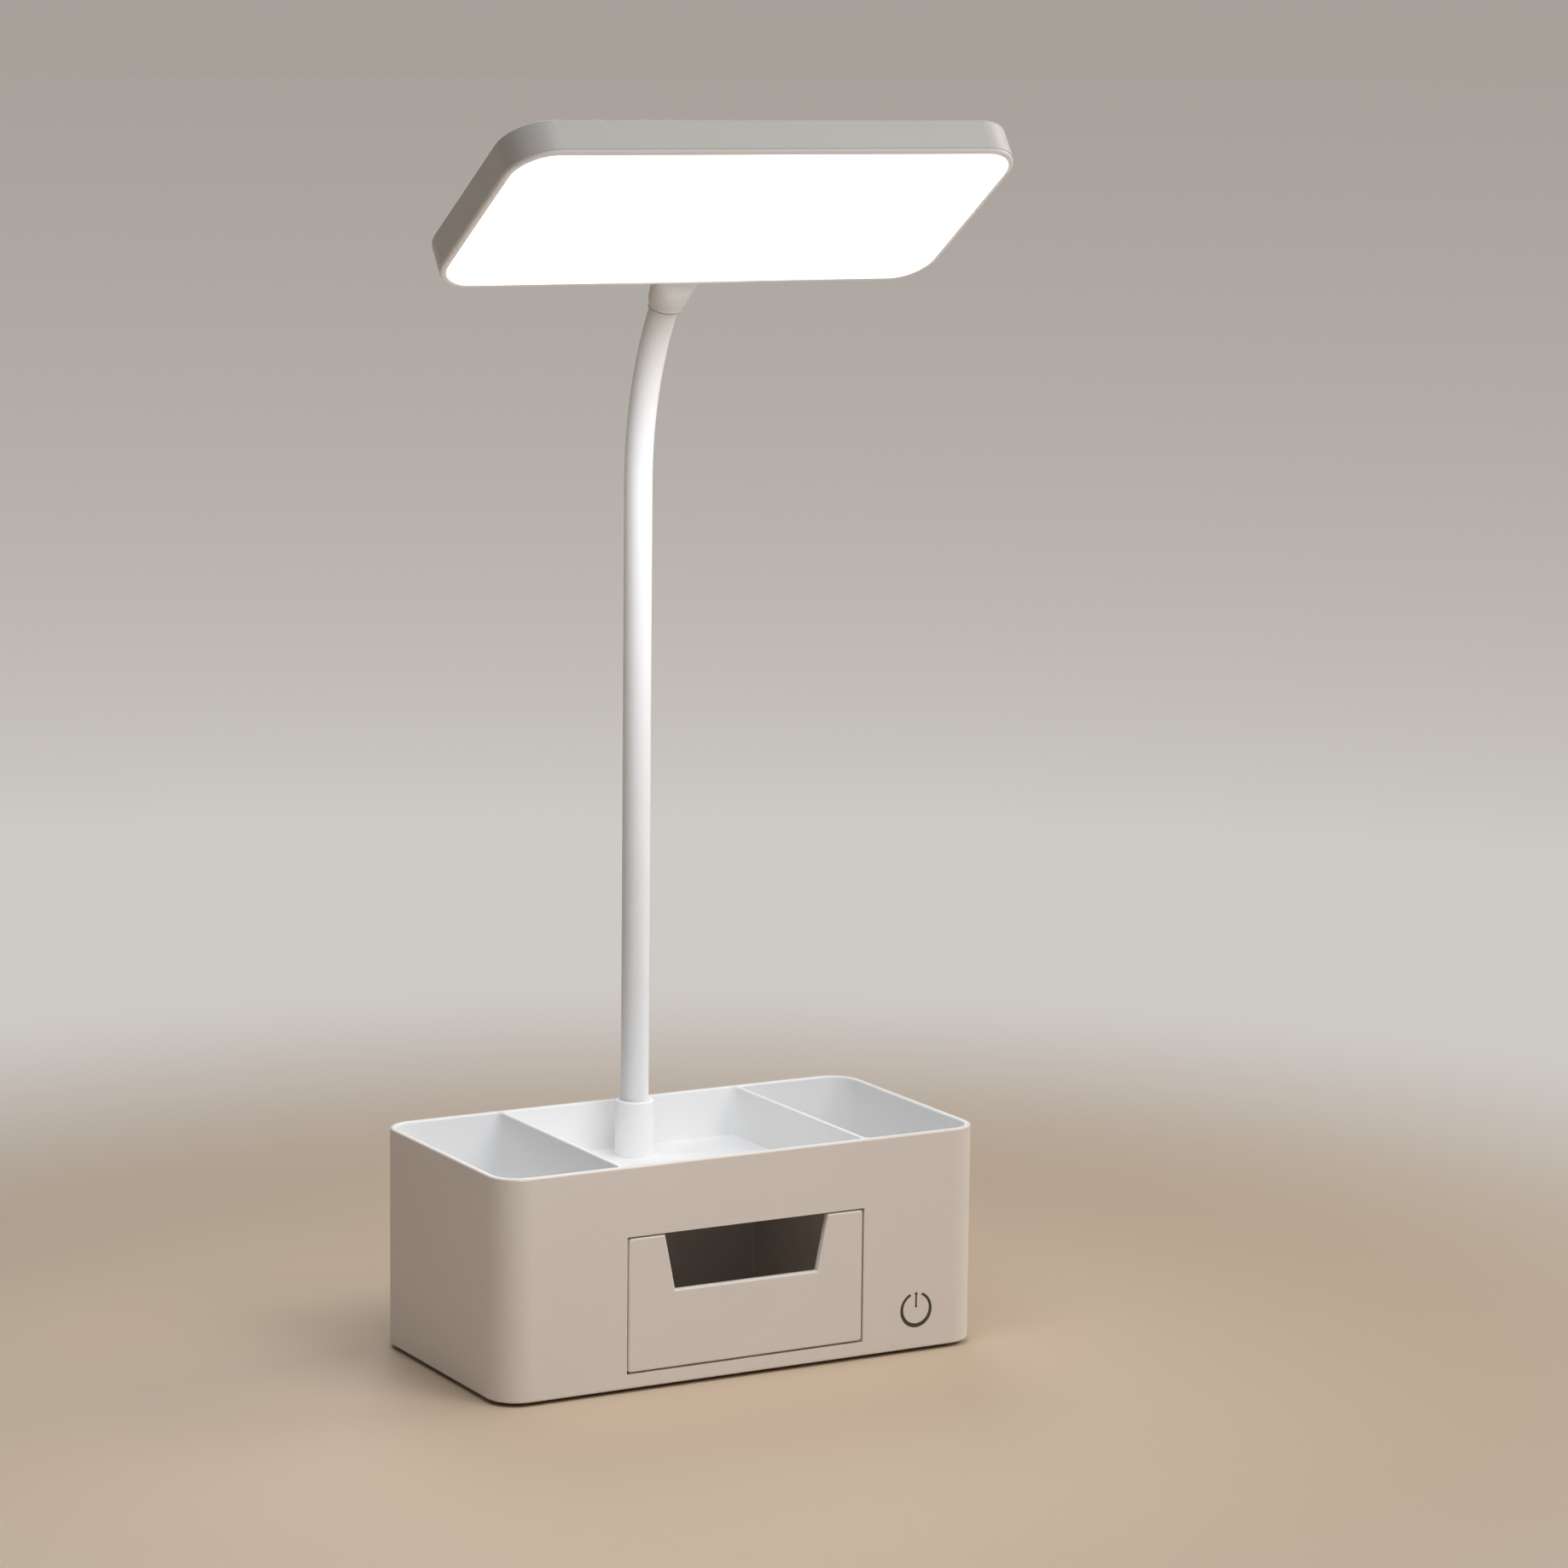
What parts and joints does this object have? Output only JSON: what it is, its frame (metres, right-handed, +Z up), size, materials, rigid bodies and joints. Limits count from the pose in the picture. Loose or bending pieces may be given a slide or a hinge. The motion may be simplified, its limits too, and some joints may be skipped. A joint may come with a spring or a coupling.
{
  "type": "desk lamp",
  "caption": "Desk lamp with a wide flat light panel on a gooseneck arm, standing on an organiser box with bins, a tray and a drawer.",
  "frame": {"origin": "centre of the base's footprint, on the desk under the rubber feet", "axes": "+X to the user's right, -Y to the front (the drawer's side), +Z up"},
  "size_m": [0.204, 0.1209, 0.4574],
  "materials": {
    "base_plastic": "fine matte, moulded",
    "head_plastic": "fine matte, moulded",
    "sleeve": "smooth satin silicone",
    "steel": "plain",
    "lead": "insulated wire",
    "feet": "matte",
    "cell": "shrink-wrapped",
    "dark_plastic": "moulded",
    "board": "glass-fibre board",
    "strip": "white mask",
    "foam": "conductive foam",
    "lamps": "phosphor",
    "mark": "satin",
    "diffuser": "frosted",
    "clear_plastic": "polished acrylic",
    "white_sheet": "satin",
    "aluminium": "plain"
  },
  "bodies": {
    "base": {"base_housing": "base_plastic", "bottom_cover": "dark_plastic", "rubber_feet": "feet", "cover_screws": "steel", "ballast_plate": "steel", "ballast_screws": "steel", "battery_cell": "cell", "battery_holder": "dark_plastic", "control_board": "board", "driver_components": "dark_plastic", "board_screws": "steel", "charge_port": "steel", "touch_board": "board", "touch_pad": "foam", "switch_lamp": "lamps", "power_symbol": "mark", "supply_lead": "lead", "switch_lead": "lead", "battery_lead": "lead", "arm_collar": "base_plastic", "collar_washer": "steel", "collar_nut": "steel", "arm_sleeve_0": "sleeve", "arm_core_0": "steel", "arm_lead_0": "lead"},
    "drawer": {"drawer_box": "base_plastic"},
    "arm_1": {"arm_sleeve_1": "sleeve", "arm_core_1": "steel", "arm_lead_1": "lead"},
    "arm_2": {"arm_sleeve_2": "sleeve", "arm_core_2": "steel", "arm_lead_2": "lead"},
    "arm_3": {"arm_sleeve_3": "sleeve", "arm_core_3": "steel", "arm_lead_3": "lead"},
    "arm_4": {"arm_sleeve_4": "sleeve", "arm_core_4": "steel", "arm_lead_4": "lead"},
    "arm_5": {"arm_sleeve_5": "sleeve", "arm_core_5": "steel", "arm_lead_5": "lead"},
    "arm_6": {"arm_sleeve_6": "sleeve", "arm_core_6": "steel", "arm_lead_6": "lead"},
    "head": {"arm_sleeve_7": "sleeve", "arm_core_7": "steel", "arm_lead_7": "lead", "head_neck": "head_plastic", "neck_screws": "steel", "head_shell": "head_plastic", "head_bezel": "head_plastic", "diffuser": "diffuser", "light_guide": "clear_plastic", "reflector_sheet": "white_sheet", "backing_plate": "aluminium", "head_screws": "steel", "lamp_strip": "strip", "strip_lamps": "lamps", "head_lead": "lead"}
  },
  "joints": [
    {"name": "drawer_slide", "type": "slide", "parent": "base", "child": "drawer", "axis": [0, -1, 0], "range_m": [0, 0.077]},
    {"name": "lower_bend", "type": "hinge", "parent": "base", "child": "arm_1", "pos_m": [0, 0.038, 0.1082], "axis": [1, 0, 0], "range_deg": [-20, 20]},
    {"name": "side_bend", "type": "hinge", "parent": "arm_1", "child": "arm_2", "pos_m": [0, 0.038, 0.1482], "axis": [0, 1, 0], "range_deg": [-20, 20]},
    {"name": "lower_bend_2", "type": "hinge", "parent": "arm_2", "child": "arm_3", "pos_m": [0, 0.038, 0.1882], "axis": [1, 0, 0], "range_deg": [-20, 20]},
    {"name": "side_bend_2", "type": "hinge", "parent": "arm_3", "child": "arm_4", "pos_m": [0, 0.038, 0.2282], "axis": [0, 1, 0], "range_deg": [-20, 20]},
    {"name": "upper_bend", "type": "hinge", "parent": "arm_4", "child": "arm_5", "pos_m": [0, 0.038, 0.2682], "axis": [1, 0, 0], "range_deg": [-15, 22]},
    {"name": "upper_bend_2", "type": "hinge", "parent": "arm_5", "child": "arm_6", "pos_m": [0, 0.038, 0.3082], "axis": [1, 0, 0], "range_deg": [-15, 22]},
    {"name": "upper_bend_3", "type": "hinge", "parent": "arm_6", "child": "head", "pos_m": [0, 0.03501, 0.34798], "axis": [1, 0, 0], "range_deg": [-15, 22]}
  ],
  "couplings": [
    {"joint": "lower_bend_2", "follows": "lower_bend", "ratio": 1},
    {"joint": "side_bend_2", "follows": "side_bend", "ratio": 1},
    {"joint": "upper_bend_2", "follows": "upper_bend", "ratio": 1},
    {"joint": "upper_bend_3", "follows": "upper_bend", "ratio": 1}
  ]
}
